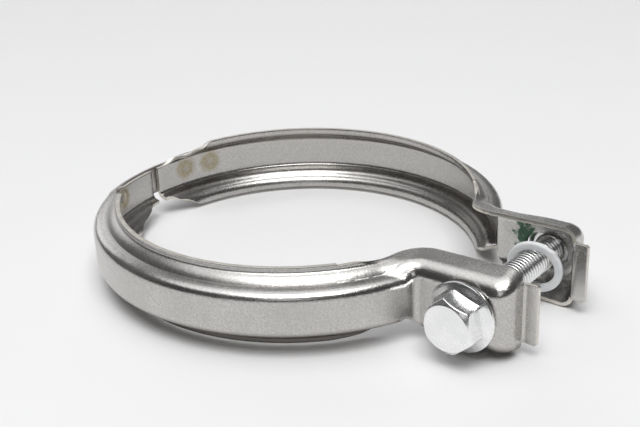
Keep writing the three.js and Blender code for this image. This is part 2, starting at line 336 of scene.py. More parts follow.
def rim_directions(rim):
    """For each vertex of the skin's open edges, the direction out of the sheet in its own plane."""
    away = {v: Vector() for e in rim for v in e.verts}
    for e in rim:
        loop = e.link_loops[0]
        a, b = loop.vert, loop.link_loop_next.vert
        out = (b.co - a.co).normalized().cross(loop.face.normal).normalized()
        away[a] += out
        away[b] += out
    return {v: out.normalized() for v, out in away.items()}


def inner_points(outer, normals, on_rim, thick):
    """Where the inner face's vertices go, evened out so that the tight bends don't fold over."""
    inner_at = {v: v.co - normals[v] * thick for v in outer}
    for _ in range(4):
        moved = {}
        for v in outer:
            if v in on_rim:
                continue
            around = [inner_at[e.other_vert(v)] for e in v.link_edges]
            moved[v] = inner_at[v] * 0.5 + sum(around, Vector()) / len(around) * 0.5
        inner_at.update(moved)
    return inner_at


def copied_vertex(bm, source, place, wear_and_shade=None):
    """A new vertex with the grain of another, and its wear unless one is given."""
    grain_layer = bm.verts.layers.float_vector["grain"]
    wear_layer = bm.verts.layers.float["wear_and_shade"]
    made = bm.verts.new(place)
    made[grain_layer] = source[grain_layer]
    made[wear_layer] = source[wear_layer] if wear_and_shade is None else wear_and_shade
    return made


def rounded_edge(start, out, down):
    """Two points of the quarter round that leaves a face at start towards out and turns down."""
    points = []
    for angle in (45, 90):
        sunk, over = 1 - math.cos(math.radians(angle)), math.sin(math.radians(angle))
        points.append(start + out * EDGE_ROUND * over + down * EDGE_ROUND * sunk)
    return points


def object_of(name, mesh):
    made = bpy.data.objects.new(name, mesh)
    bpy.context.scene.collection.objects.link(made)
    return made


# ---- The stamped halves ----------------------------------------------------------------------------

class HalfShell:
    """One stamped half: the ring's profile runs through the concave root into the ear's tray and its tab.

    The skin is a grid. Its columns follow the path from the hinge to the ear's corner, and its rows
    cross the sheet. It is worked out for the rear half and mirrored for the front one.
    """

    def __init__(self, tab_y, hinge_end, top_end, bottom_end, lift=0.0):
        """top_end and bottom_end say where the sheet stops; lift raises the ear's upper wall at its seat."""
        self.tab_y = tab_y
        self.rim = tab_y + RIM_BEHIND_TAB
        self.seat = self.rim + SEAT_BEHIND_RIM
        self.hinge_end = hinge_end
        self.top_end = top_end
        self.bottom_end = bottom_end
        self.lift = lift

        root_y = self.seat + EAR_ROOT_R
        root_x = math.sqrt((WALL_R + EAR_ROOT_R) ** 2 - root_y ** 2)
        self.root = np.array([root_x, root_y])
        self.root_angle = math.degrees(math.asin(root_y / (WALL_R + EAR_ROOT_R)))
        self.root_end = math.degrees(math.atan2(self.seat, root_x))
        self.corner = np.array([EAR_END_X - EAR_CORNER_R, self.seat - EAR_CORNER_R])

        self.rows = section_rows()
        self.size, self.sign = np.abs(self.rows), np.sign(self.rows)
        steps = np.diff(ring_section(self.size[self.rows >= 0]), axis=0)
        upper = np.concatenate([[0], np.cumsum(np.hypot(*steps.T))])
        self.across = np.concatenate([-upper[:0:-1], upper])
        self.path = 0.0
        self.columns, self.grains, self.wears = [], [], []

    def flare_at(self, x, y, which):
        """How far an ear's wall splays out at a point. which is 1 for the upper wall, -1 for the lower."""
        opened = (self.seat - y) / SEAT_BEHIND_RIM
        rise = smooth(LIFT_START_X, LIFT_FULL_X, x) * np.clip(1 - opened, 0, 1)
        return EAR_FLARE * x / EAR_END_X * opened + self.lift * rise * (which > 0)

    def ring_rows(self, q):
        ring = ring_section(q)
        lower = self.rows < 0
        ring[lower, 0] *= 1 - LOWER_SHALLOWER * smooth(SHOULDER_ROW, LIP_FOOT_ROW, q[lower])
        ring[lower, 1] += LOWER_LIP_TALLER * smooth(LIP_FOOT_ROW, LAST_ROW, q[lower])
        return ring

    def ear_share(self, station, q):
        """How much of the ear's section each row has: 0 on the ring, 1 on the ear.

        The rows of the flange begin to change further from the ear than those of the wall.
        """
        slow = smooth(12, 30, q)
        begins = self.root_angle + 1.5 + 5.5 * slow + 5.0 * smooth(34, 44, q)
        ends = self.root_end + 0.2 + (self.root_angle - self.root_end - 0.7) * slow
        straight = np.clip((station - begins) / (ends - begins), 0, 1)
        return smooth(0, 1, straight) * 0.5 + straight * 0.5

    def add_column(self, station, origin, inward, at_corner=False):
        """Adds a column whose wall stands at origin and whose depth runs along inward."""
        top, bottom = row_at(station, self.top_end), row_at(station, self.bottom_end)
        q = self.size * np.where(self.rows >= 0, top, bottom) / LAST_ROW
        share = self.ear_share(station, q)
        section = self.ring_rows(q) * (1 - share)[:, None] + ear_section(q) * share[:, None]
        depth, height = section.T
        if at_corner:
            # Past the tray's edge the rows turn straight to the rim
            xy = origin + np.minimum(depth, EAR_EDGE_DEEP)[:, None] * inward
            past = np.clip((q - BEAD_ROW) / (LAST_ROW - BEAD_ROW), 0, 1)
            xy[:, 1] += (self.rim - xy[:, 1]) * past
        else:
            xy = origin + depth[:, None] * inward
        height = splayed(height, self.flare_at(*xy.T, self.sign) * share)
        bends = np.exp(-((q - 15) / 3.0) ** 2) + 0.5 * np.exp(-((q - 22) / 2.0) ** 2)
        self.columns.append(np.column_stack([xy, MID_Z + self.sign * height]))
        self.grains.append(np.column_stack([np.full(len(q), self.path), self.across]))
        self.wears.append(np.clip(bends + share * 0.35 * smooth(8, 14, q), 0, 1))

    def add_ring(self):
        # Columns stand close together at the lip's step and from there to the root
        before_step = TOP_LIP_STEP + 2
        angles = np.concatenate([
            np.linspace(self.hinge_end, before_step, int((self.hinge_end - before_step) / RING_STEP)),
            np.linspace(TOP_LIP_STEP + 1.4, TOP_LIP_STEP + 0.1, 3),
            np.linspace(TOP_LIP_STEP - 0.15, self.root_angle, 34),
        ])
        for before, angle in zip([angles[0], *angles], angles):
            self.path += math.radians(before - angle) * WALL_R
            self.add_column(angle, polar(WALL_R, angle), -polar(1, angle))

    def add_root(self):
        turns = np.linspace(self.root_angle + 180, 270, 15)
        for turn in turns[1:]:
            self.path += math.radians(turns[1] - turns[0]) * EAR_ROOT_R
            at = self.root + polar(EAR_ROOT_R, turn)
            self.add_column(math.degrees(math.atan2(at[1], at[0])), at, polar(1, turn))

    def add_seat(self):
        xs = np.linspace(self.root[0], self.corner[0], 24)
        for x in xs[1:]:
            self.path += xs[1] - xs[0]
            self.add_column(self.root_end - (x - xs[0]), np.array([x, self.seat]), np.array([0.0, -1.0]))

    def add_corner(self):
        turns = np.linspace(90, 0, 11)
        for turn in turns[1:]:
            self.path += math.radians(turns[0] - turns[1]) * EAR_CORNER_R
            at = self.corner + polar(EAR_CORNER_R, turn)
            self.add_column(self.root_end - 30, at, -polar(1, turn), at_corner=True)

    def add_end_wall(self, sheet):
        """The ear's end wall, down to the rim, and the tab bent out of its middle rows."""
        corner_y = self.corner[1]
        in_wall = self.size <= BEAD_ROW
        beyond = self.rows[self.rows > BEAD_ROW]
        # Its columns stand at the rows where the corner's flat top runs on to the rim
        downs = np.concatenate([[0.0], (beyond - BEAD_ROW) / (LAST_ROW - BEAD_ROW)])
        ys = corner_y + (self.rim - corner_y) * downs
        sign, across = self.sign[in_wall], self.across[in_wall]
        depth, height = ear_section(self.size[in_wall]).T
        xs = EAR_END_X - depth
        walls = np.array([
            np.column_stack([xs, np.full(len(xs), y),
                             MID_Z + sign * splayed(height, self.flare_at(xs, y, sign))])
            for y in ys])
        grain = np.zeros(walls.shape[:2] + (2,))
        grain[..., 0] = self.path + (corner_y - ys)[:, None]
        grain[..., 1] = across[None, :]
        wear_and_shade = np.full(walls.shape[:2], 0.4)

        # The tab leaves the wall before the rim, so the wall's middle rows stop there
        bend_start = self.tab_y + SHEET + TAB_BEND_R
        flat = np.abs(self.rows[in_wall]) <= WALL_ROW
        first_flat, last_flat = np.flatnonzero(flat)[[0, -1]]
        last_full = np.flatnonzero(ys > bend_start + 0.05)[-1]
        full, rest = slice(0, last_full + 1), slice(last_full, None)
        sheet.add_grid(walls[full], grain[full], wear_and_shade[full])
        for part in (slice(0, first_flat), slice(last_flat + 1, None)):
            sheet.add_grid(walls[rest, part], grain[rest, part], wear_and_shade[rest, part])
        self.add_tab(sheet, walls[last_full, flat], across[flat], bend_start)

    def add_tab(self, sheet, start, across, bend_start):
        """The tab, from its row of points on the end wall, round its bend and out to its free end."""
        half_tall = start[-1, 2] - MID_Z
        tab, path = [start], [0.0]
        for turn in np.linspace(180, 270, 7):
            at = np.array([EAR_END_X + TAB_BEND_R, bend_start]) + polar(TAB_BEND_R, turn)
            tab.append(np.column_stack([np.tile(at, (len(start), 1)), start[:, 2]]))
            path.append(2.0 + math.radians(turn - 180) * TAB_BEND_R)
        free_x = TAB_END_X - EDGE_ROUND
        for x in np.linspace(EAR_END_X + TAB_BEND_R, free_x, 9)[1:]:
            rounded = 1 - 0.05 * (1 - smooth(0, 0.6, free_x - x))
            tall = np.interp(x, [EAR_END_X, TAB_END_X], [half_tall, TAB_END_HALF_TALL]) * rounded
            z = MID_Z + (start[:, 2] - MID_Z) / half_tall * tall
            tab.append(np.column_stack([np.full(len(z), x), np.full(len(z), self.tab_y + SHEET), z]))
            path.append(path[-1] + 0.4)
        tab = np.array(tab)
        grain = np.zeros(tab.shape[:2] + (2,))
        grain[..., 0] = self.path + 3 + np.array(path)[:, None]
        grain[..., 1] = across[None, :]
        sheet.add_grid(tab, grain, np.full(tab.shape[:2], 0.45))

    def piece(self, name, side, materials):
        self.add_ring()
        self.add_root()
        self.add_seat()
        self.add_corner()
        sheet = Sheet()
        sheet.add_grid(np.array(self.columns), np.array(self.grains), np.array(self.wears))
        self.add_end_wall(sheet)
        return object_of(name, sheet.solid(name, materials, side))


def row_at(station, pairs):
    return np.interp(station, *zip(*pairs))


def splayed(height, flare):
    """Heights moved outwards by the flare: all of it past the flat middle, and in proportion within it."""
    return np.where(height < EAR_FLAT, height * (1 + flare / EAR_FLAT), height + flare)


# ---- Turned and other closed pieces ----------------------------------------------------------------

def rings_solid(name, rings, material, wear_and_shade=None, closed=False, place=None):
    """A solid from rings of points, each the same length.

    closed joins the last ring to the first; otherwise both ends are capped. The wear and shade take a value,
    or one for each point, for every ring: above zero it is wear, below zero painted shade.
    """
    rings = np.asarray(rings, float)
    count, around = rings.shape[:2]
    points = rings.reshape(-1, 3)
    if place is not None:
        points = np.array([place @ Vector(p) for p in points])
    faces = []
    for i in range(count if closed else count - 1):
        this, following = i * around, (i + 1) % count * around
        for j in range(around):
            k = (j + 1) % around
            faces.append((this + j, this + k, following + k, following + j))
    if not closed:
        faces.append(tuple(range(around))[::-1])
        faces.append(tuple((count - 1) * around + j for j in range(around)))
    mesh = bpy.data.meshes.new(name)
    mesh.from_pydata([tuple(p) for p in to_frame(points)], [], faces)
    attribute = mesh.attributes.new("wear_and_shade", "FLOAT", "POINT")
    values = np.zeros(len(points))
    if wear_and_shade is not None:
        values = np.concatenate([np.broadcast_to(w, around) for w in wear_and_shade])
    attribute.data.foreach_set("value", values.astype(np.float32))
    mesh.materials.append(material)
    bm = bmesh.new()
    bm.from_mesh(mesh)
    bmesh.ops.remove_doubles(bm, verts=bm.verts, dist=1e-7)
    bmesh.ops.recalc_face_normals(bm, faces=bm.faces)
    bm.to_mesh(mesh)
    bm.free()
    mesh.polygons.foreach_set("use_smooth", [True] * len(mesh.polygons))
    mesh.set_sharp_from_angle(angle=math.radians(38))
    return object_of(name, mesh)


def around_bolt(radius, y, phis):
    """Points round the bolt's axis. Seen from +Y the angle grows clockwise, so threads are right-handed."""
    radius, y = np.broadcast_arrays(np.asarray(radius, float), np.asarray(y, float))
    return np.stack([BOLT_X + radius * np.sin(phis), np.broadcast_to(y, np.shape(phis)),
                     BOLT_Z + radius * np.cos(phis)], -1)


def hexagon_radius(phis, turn):
    """Distance from the axis to a hexagon's side, with its corners slightly rounded."""
    local = np.mod(phis - math.radians(turn), math.pi / 3) - math.pi / 6
    side = HEX_INNER_R / np.cos(local)
    corner = HEX_INNER_R / math.cos(math.pi / 6) - HEX_CORNER_SOFT + 0.04
    blended = np.exp(-side * HEX_CORNER_BLEND) + np.exp(-corner * HEX_CORNER_BLEND)
    return -np.log(blended) / HEX_CORNER_BLEND


def chamfered(below_end, radius, tall):
    """Height, at a radius, of a point below_end under a hexagon's end: flat, then conical at the corners."""
    drop = HEX_CHAMFER * np.clip((radius - HEX_FACE_R) / HEX_CHAMFER_WIDE, 0, None)
    return tall - drop - below_end


def head_rings(phis):
    """The head as rings of radius, height over the bearing face and wear, from the middle of its end."""
    hexagon = hexagon_radius(phis, HEAD_TURN)
    dish = [(0.02, 7.5, 0), (1.5, 7.5, 0), (3.2, 7.51, 0), (4.6, 7.53, 0), (5.1, 7.56, 0), (5.45, 7.6, 0.3),
            (5.8, 7.6, 0.3), (5.98, 7.585, 0.3)]
    face_r = HEX_FACE_R + 0.02
    chamfer = [face_r + (hexagon - 0.07 - face_r) * t for t in (0.06, 0.3, 0.6, 0.85, 1.0)]
    sides = [(hexagon - 0.02, chamfered(0.10, hexagon, HEAD_TALL), 1.0),
             (hexagon, chamfered(0.28, hexagon, HEAD_TALL), 0.6),
             *((hexagon, height, 0) for height in (6.0, 4.6, 3.4, 2.6))]
    fillet = [(hexagon + 0.03, 2.25, 0), (hexagon + 0.14, 1.98, 0), (hexagon + 0.4, 1.78, 0),
              (hexagon * 0.65 + FLANGE_R * 0.35, 1.55, 0), (hexagon * 0.3 + FLANGE_R * 0.7, 1.3, 0)]
    flange = [(FLANGE_R - 0.28, 1.08, 0.4), (FLANGE_R - 0.07, 0.98, 1.0), (FLANGE_R, 0.8, 0.6),
              (FLANGE_R, 0.2, 0), (FLANGE_R - 0.1, 0.03, 0), (FLANGE_R - 0.4, 0, 0)]
    neck = [(THREAD_CREST_R + 0.3, 0, 0), (THREAD_CREST_R, -0.3, 0)]
    return dish + [(r, chamfered(0, r, HEAD_TALL), 0.6) for r in chamfer] + sides + fillet + flange + neck


def thread_rings(phis, start, end):
    """The thread, a helical ridge on the shank that dies out at both ends, as rings of radius, y and wear:
    paler on the crests, and below zero in the roots, where it paints shade.
    """
    for y in np.arange(start, end - 0.15, THREAD_PITCH / THREAD_STEPS):
        phase = np.mod((y - start) / THREAD_PITCH - phis / (2 * math.pi), 1)
        sunk = np.clip(np.abs(phase - 0.5) * 2 * 1.24 - 0.1, 0, 1)
        sunk = sunk * sunk * (3 - 2 * sunk) * 0.35 + sunk * 0.65
        sunk = sunk * smooth(start, start + 1.4, y)
        radius = THREAD_CREST_R + (THREAD_ROOT_R - THREAD_CREST_R) * sunk
        # The last value makes the crests paler and, below zero in the thread's roots, paints shade there
        yield np.minimum(radius, THREAD_CREST_R - 0.9 * smooth(end - 1.1, end, y)), y, 0.6 - 1.8 * sunk


def bolt_piece(zinc):
    phis = full_turn(120) + math.radians(HEAD_TURN)
    bearing = -(FRONT_SEAT + HEAD_GAP)
    end = bearing + BOLT_LENGTH
    rings = [(radius, bearing - height, wear_and_shade) for radius, height, wear_and_shade in head_rings(phis)]
    rings += thread_rings(phis, bearing + THREAD_START, end)
    rings += [(THREAD_CREST_R - 1.1, end, 0.5), (0.02, end, 0)]
    bolt = rings_solid("flange_bolt", [around_bolt(radius, y, phis) for radius, y, _ in rings], zinc,
                       wear_and_shade=[wear_and_shade for _, _, wear_and_shade in rings])
    clear_sharp_edges(bolt.data, THREAD_CREST_R + 0.02)
    return bolt


def clear_sharp_edges(mesh, within_r):
    """Shades the thread smoothly: no edge within a radius of the bolt's axis stays sharp."""
    axis = Vector(to_frame((BOLT_X, 0, BOLT_Z)))
    near = [math.hypot(v.co.x - axis.x, v.co.z - axis.z) < within_r * METRES for v in mesh.vertices]
    sharp = mesh.attributes["sharp_edge"].data
    for e in mesh.edges:
        if near[e.vertices[0]] and near[e.vertices[1]]:
            sharp[e.index].value = False


def nut_piece(zinc):
    phis = full_turn(96)
    hexagon = hexagon_radius(phis, 0)
    chamfer_r = NUT_BORE_R + 0.35
    bearing = REAR_SEAT + NUT_GAP
    profile = [
        (chamfer_r, 0),
        (NUT_FACE_R, 0),
        (hexagon - 0.05, NUT_TALL - chamfered(0.1, hexagon, NUT_TALL)),
        (hexagon, NUT_TALL + 0.3 - chamfered(0, hexagon, NUT_TALL)),
        (hexagon, chamfered(0.3, hexagon, NUT_TALL)),
        (hexagon - 0.05, chamfered(0.1, hexagon, NUT_TALL)),
        (NUT_FACE_R, NUT_TALL),
        (chamfer_r, NUT_TALL),
        (NUT_BORE_R, NUT_TALL - 0.3),
        (NUT_BORE_R, 0.3),
    ]
    rings = [around_bolt(radius, bearing + height, phis) for radius, height in profile]
    return rings_solid("low_nut", rings, zinc, closed=True)


def retainer_piece(nylon):
    """The nylon washer that keeps the bolt in, tilted on the shank, with its small moulding nub."""
    phis = full_turn(120)
    middle_r = (RETAINER_INNER_R + RETAINER_OUTER_R) / 2
    flat_half_wide = (RETAINER_OUTER_R - RETAINER_INNER_R) / 2 - RETAINER_SOFT
    flat_half_thick = RETAINER_HALF_THICK - RETAINER_SOFT
    from_nub = np.mod(phis - 0.75 + math.pi, 2 * math.pi) - math.pi
    rings = []
    for angle in full_turn(32):
        c, s = math.cos(angle), math.sin(angle)
        r = middle_r + math.copysign(flat_half_wide, c) * min(1, abs(c) * 3) + RETAINER_SOFT * c
        y = math.copysign(flat_half_thick, s) * min(1, abs(s) * 3) + RETAINER_SOFT * s
        r = r + 0.35 * np.exp(-(from_nub / 0.09) ** 2) * max(0.0, c)
        rings.append(np.stack([r * np.sin(phis), np.full_like(phis, y), r * np.cos(phis)], -1))
    place = (Matrix.Translation(RETAINER_PLACE)
             @ Matrix.Rotation(math.radians(RETAINER_TURN), 4, "Z")
             @ Matrix.Rotation(math.radians(RETAINER_TILT), 4, "X"))
    return rings_solid("nylon_retainer", rings, nylon, closed=True, place=place)


def slotted_ring(radius, y, reach, phis):
    """A circle round the bolt's hole, stretched along X by reach both ways."""
    x = radius * np.sin(phis) + reach * np.clip(np.sin(phis) * 6, -1, 1)
    return np.stack([BOLT_X + x, np.full_like(phis, y), MID_Z + radius * np.cos(phis)], -1)


def seat_disc(name, side, seat, reach, material):
    """The flat coined ring round the bolt's hole on the inside of an ear's seat."""
    sunk, face = seat - SHEET + SEAT_DISC_SUNK, seat - SHEET - SEAT_DISC_RAISED
    outside = ((SEAT_DISC_R, sunk), (SEAT_DISC_R, face + 0.2), (SEAT_DISC_R - 0.08, face + 0.06),
               (SEAT_DISC_R - 0.25, face), (SEAT_DISC_FACE_R, face))
    in_hole = ((HOLE_R + 0.2, face), (HOLE_R + 0.05, face + 0.06), (HOLE_R, face + 0.2), (HOLE_R, sunk))
    phis = full_turn(96)
    rings = [slotted_ring(r, y * side, 0, phis) for r, y in outside]
    rings += [slotted_ring(r, y * side, reach, phis) for r, y in in_hole]
    return rings_solid(name, rings, material, closed=True)


def cut_hole(piece, side, seat, reach):
    """Cuts the bolt's hole, stretched along X by reach both ways, through an ear's seat."""
    phis = full_turn(64)
    rings = [slotted_ring(HOLE_R, y * side, reach, phis) for y in (seat - SHEET - 2, seat + 1)]
    cutter = rings_solid("cutter", rings, piece.data.materials[0])
    modifier = piece.modifiers.new("hole", "BOOLEAN")
    modifier.operation = "DIFFERENCE"
    modifier.solver = "EXACT"
    modifier.object = cutter
    cut = bpy.data.meshes.new_from_object(piece.evaluated_get(bpy.context.evaluated_depsgraph_get()))
    piece.modifiers.clear()
    piece.data = cut
    bpy.data.objects.remove(cutter)
    cut.set_sharp_from_angle(angle=math.radians(42))


def strap_piece(material):
    """The spring strip welded across the hinge gap, with rounded corners."""
    outer_r = WALL_R + STRAP_CLEARANCE + STRAP_THICK
    half_span = STRAP_SPAN_ANGLE / 2
    inset, across = 0.2, 13
    columns, grain = [], []
    for angle in np.linspace(HINGE_ANGLE + half_span - inset, HINGE_ANGLE - half_span + inset, 61):
        to_end = (half_span - abs(angle - HINGE_ANGLE)) * math.radians(1) * outer_r
        into_corner = max(0.0, STRAP_CORNER_R - to_end)
        short = STRAP_CORNER_R - math.sqrt(STRAP_CORNER_R ** 2 - into_corner ** 2)
        z = np.linspace(-1, 1, across) * (STRAP_TALL / 2 - EDGE_ROUND * 0.5 - short)
        columns.append(np.column_stack([np.tile(polar(outer_r, angle), (across, 1)), MID_Z + z]))
        grain.append(np.column_stack([np.full(across, -angle), z]))
    columns, grain = np.array(columns), np.array(grain)
    sheet = Sheet()
    sheet.add_grid(columns, grain, np.full(columns.shape[:2], 0.2))
    return object_of("hinge_strip", sheet.solid("hinge_strip", [material, material], thick=STRAP_THICK))


# ---- Materials -------------------------------------------------------------------------------------

class Look:
    """A material with a Principled shader, and short calls to wire nodes to it."""

    def __init__(self, name, **values):
        self.material = bpy.data.materials.new(name)
        self.material.use_nodes = True
        self.tree = self.material.node_tree
        self.shader = self.tree.nodes["Principled BSDF"]
        for key, value in values.items():
            self.shader.inputs[key.replace("_", " ")].default_value = value

    def node(self, kind, inputs=None, **settings):
        made = self.tree.nodes.new("ShaderNode" + kind)
        for key, value in settings.items():
            setattr(made, key, value)
        for key, value in (inputs or {}).items():
            if isinstance(value, bpy.types.NodeSocket):
                self.tree.links.new(value, made.inputs[key])
            else:
                made.inputs[key].default_value = value
        return made

    def object_vector(self):
        return self.node("TexCoord").outputs["Object"]

    def grain_vector(self):
        return self.node("Attribute", attribute_name="grain").outputs["Vector"]

    def wear_and_shade(self):
        return self.node("Attribute", attribute_name="wear_and_shade").outputs["Fac"]

    def scaled(self, vector, scale):
        return self.node("VectorMath", {0: vector, 1: scale}, operation="MULTIPLY").outputs[0]

    def noise(self, vector, scale, detail=3.0, rough=0.55):
        return self.node("TexNoise", {"Vector": vector, "Scale": scale, "Detail": detail,
                                      "Roughness": rough}).outputs["Fac"]

    def spread(self, value, low, high, to_low=0.0, to_high=1.0):
        made = self.node("MapRange", {"Value": value, "From Min": low, "From Max": high,
                                      "To Min": to_low, "To Max": to_high})
        return made.outputs["Result"]

    def maths(self, operation, a, b):
        return self.node("Math", {0: a, 1: b}, operation=operation).outputs[0]

    def mixed(self, factor, a, b):
        made = self.node("Mix", data_type="RGBA")
        for socket, value in ((made.inputs[0], factor), (made.inputs[6], a), (made.inputs[7], b)):
            if isinstance(value, bpy.types.NodeSocket):
                self.tree.links.new(value, socket)
            else:
                socket.default_value = value
        return made.outputs[2]

    def bump(self, height, distance, strength=1.0, before=None):
        inputs = {"Height": height, "Distance": distance, "Strength": strength}
        if before is not None:
            inputs["Normal"] = before
        return self.node("Bump", inputs).outputs["Normal"]

    def wire(self, name, socket):
        self.tree.links.new(socket, self.shader.inputs[name])


def grey(value, tint=(1.0, 1.0, 1.0)):
    return (value * tint[0], value * tint[1], value * tint[2], 1.0)


WARM = (1.0, 0.978, 0.945)


SHEET_TONE = 0.60
# Colour of the shade painted under the ring and on its low outside
PAINTED_SHADE_COLOUR = (0.17, 0.15, 0.135, 1)
WELD_TINT = (0.33, 0.27, 0.15, 1)
WELD_CORE = (0.34, 0.33, 0.33, 1)
PAINT_GREEN = (0.035, 0.16, 0.075, 1)
PAINT_CENTRE = (61.2, 21.5, 12.9)
PAINT_REACH = 2.9
PAINT_SQUASH = (1.0, 1.0, 0.55)


def stainless(name, weld_turns, painted=False):
    """Pressed stainless sheet: rolled grain along the path, satin mottling, polished bends, weld marks and
    painted shade below.
    """
    look = Look(name, Metallic=1.0)
    place, grain, wear_and_shade = look.object_vector(), look.grain_vector(), look.wear_and_shade()
    fine = look.noise(look.scaled(grain, (0.9, 4.6, 1)), 1.0, 4.0, 0.65)
    streak = look.noise(look.scaled(grain, (0.05, 2.6, 1)), 1.0, 3.0, 0.6)
    speckle = look.noise(place, 2300, 2.0, 0.6)
    cloud = look.noise(place, 70, 4.0, 0.6)
    clouded = look.spread(cloud, 0.3, 0.7)
    dark, pale = grey(SHEET_TONE * 0.74, WARM), grey(SHEET_TONE * 1.25, WARM)
    colour = look.mixed(clouded, grey(SHEET_TONE * 0.86, WARM), grey(SHEET_TONE * 1.08, WARM))
    colour = look.mixed(look.spread(streak, 0.35, 0.75, 0, 0.12), colour, grey(SHEET_TONE * 0.72, WARM))
    colour = look.mixed(look.spread(speckle, 0.4, 0.62, 0, 0.8), colour, dark)
    colour = look.mixed(look.spread(wear_and_shade, 0.2, 1.0, 0, 0.4), colour, pale)
    rough = look.spread(fine, 0.25, 0.75, 0.24, 0.34)
    rough = look.maths("ADD", rough, look.spread(cloud, 0.3, 0.7, -0.05, 0.06))
    rough = look.maths("SUBTRACT", rough, look.spread(wear_and_shade, 0.0, 1.0, 0.0, 0.1))
    height = look.maths("ADD", look.spread(fine, 0, 1, 0, 0.25), look.spread(speckle, 0, 1, 0, 0.75))
    normal = look.bump(height, 0.00007, 0.6)
    normal = look.bump(cloud, 0.0005, 0.25, normal)

    facing = look.node("NewGeometry").outputs["Normal"]
    outward = facing_outward(look, place, facing)
    # Painted shade on what faces down and on the ring's outside low down
    colour = painted_shade_below(look, colour, place, facing, outward)
    colour, normal = with_welds(look, colour, normal, place, outward, weld_turns)
    if painted:
        cover = paint_cover(look, place)
        colour = look.mixed(look.maths("MULTIPLY", cover, 0.9), colour, PAINT_GREEN)
        rough = look.maths("ADD", rough, look.maths("MULTIPLY", cover, 0.25))
        look.wire("Metallic", look.spread(cover, 0, 1, 1, 0.15))
    look.wire("Base Color", colour)
    look.wire("Roughness", rough)
    look.wire("Normal", normal)
    return look.material


def facing_outward(look, place, facing):
    """Distance from the ring's axis times how far the face looks away from it: negative on the inside."""
    to_axis = tuple(-to_frame((0.0, 0.0, 0.0)))
    radial = look.node("VectorMath", {0: place, 1: to_axis}, operation="ADD").outputs[0]
    flat = look.scaled(radial, (1, 1, 0))
    return look.node("VectorMath", {0: flat, 1: facing}, operation="DOT_PRODUCT").outputs["Value"]


def painted_shade_below(look, colour, place, facing, outward):
    """Paints shade on what faces down and on the low outside of the ring, standing for their contact shadow
    and the shaded floor they reflect.
    """
    down = look.node("SeparateXYZ", {"Vector": facing}).outputs["Z"]
    height = look.node("SeparateXYZ", {"Vector": place}).outputs["Z"]
    low_outside_shade = look.maths("MULTIPLY", look.spread(height, 0.0040, 0.0024),
                             look.spread(outward, 0.005, 0.02))
    # How much painted shade each place gets
    shade_amount = look.maths("MAXIMUM", look.spread(down, -0.12, -0.6), low_outside_shade)
    return look.mixed(look.maths("MULTIPLY", shade_amount, 0.75), colour, PAINTED_SHADE_COLOUR)


def with_welds(look, colour, normal, place, outward, turns):
    """Spot welds seen from inside the ring: a ragged straw-coloured ring round a dented grey core."""
    nearest = None
    for turn in turns:
        centre = tuple(to_frame(np.append(polar(WALL_R - 0.2, turn), MID_Z + WELD_ABOVE_MIDDLE)))
        away = look.node("VectorMath", {0: place, 1: centre}, operation="DISTANCE").outputs["Value"]
        nearest = away if nearest is None else look.maths("MINIMUM", nearest, away)
    inside = look.spread(outward, 0.0, -0.02)
    ragged = look.maths("ADD", nearest, look.spread(look.noise(place, 700, 3.0), 0, 1, -0.0012, 0.0012))
    tint = look.maths("MULTIPLY", look.spread(ragged, -0.0006, 0.0018), look.spread(ragged, 0.0044, 0.0026))
    mottle = look.spread(look.noise(place, 1300, 3.0), 0.3, 0.7, 0.45, 0.9)
    tint = look.maths("MULTIPLY", look.maths("MULTIPLY", tint, mottle), inside)
    core = look.maths("MULTIPLY", look.spread(ragged, 0.0016, 0.0006), inside)
    colour = look.mixed(tint, colour, WELD_TINT)
    colour = look.mixed(look.maths("MULTIPLY", core, 0.35), colour, WELD_CORE)
    dent = look.maths("ADD", look.spread(nearest, 0.0022, 0.0012, 1, 0),
                      look.spread(nearest, 0.0019, 0.0030, 0.5, 0))
    return colour, look.bump(dent, 0.0002, 0.6, normal)


def paint_cover(look, place):
    """1 under the ragged dab of paint on the rear ear's seat, 0 elsewhere."""
    centre = tuple(float(a * b) for a, b in zip(to_frame(PAINT_CENTRE), PAINT_SQUASH))
    away = look.node("VectorMath", {0: look.scaled(place, PAINT_SQUASH), 1: centre},
                     operation="DISTANCE").outputs["Value"]
    ragged = look.spread(look.noise(place, 520, 4.0, 0.7), 0.25, 0.75, -0.0026, 0.0026)
    reach = PAINT_REACH * METRES
    return look.spread(look.maths("ADD", away, ragged), reach, reach * 0.7)


def cut_edge():
    """Sheared edges of the sheet: brighter, with lines across the sheet."""
    look = Look("sheared_edge", Metallic=1.0)
    grain, place = look.grain_vector(), look.object_vector()
    lines = look.noise(look.scaled(grain, (7.0, 0.4, 1)), 1.0, 3.0, 0.6)
    mottle = look.noise(place, 500, 3.0)
    colour = look.mixed(look.spread(mottle, 0.3, 0.7), (0.62, 0.59, 0.54, 1), (0.80, 0.77, 0.71, 1))
    look.wire("Base Color", colour)
    look.wire("Roughness", look.spread(lines, 0.25, 0.75, 0.34, 0.55))
    look.wire("Normal", look.bump(lines, 0.00005, 0.5))
    return look.material


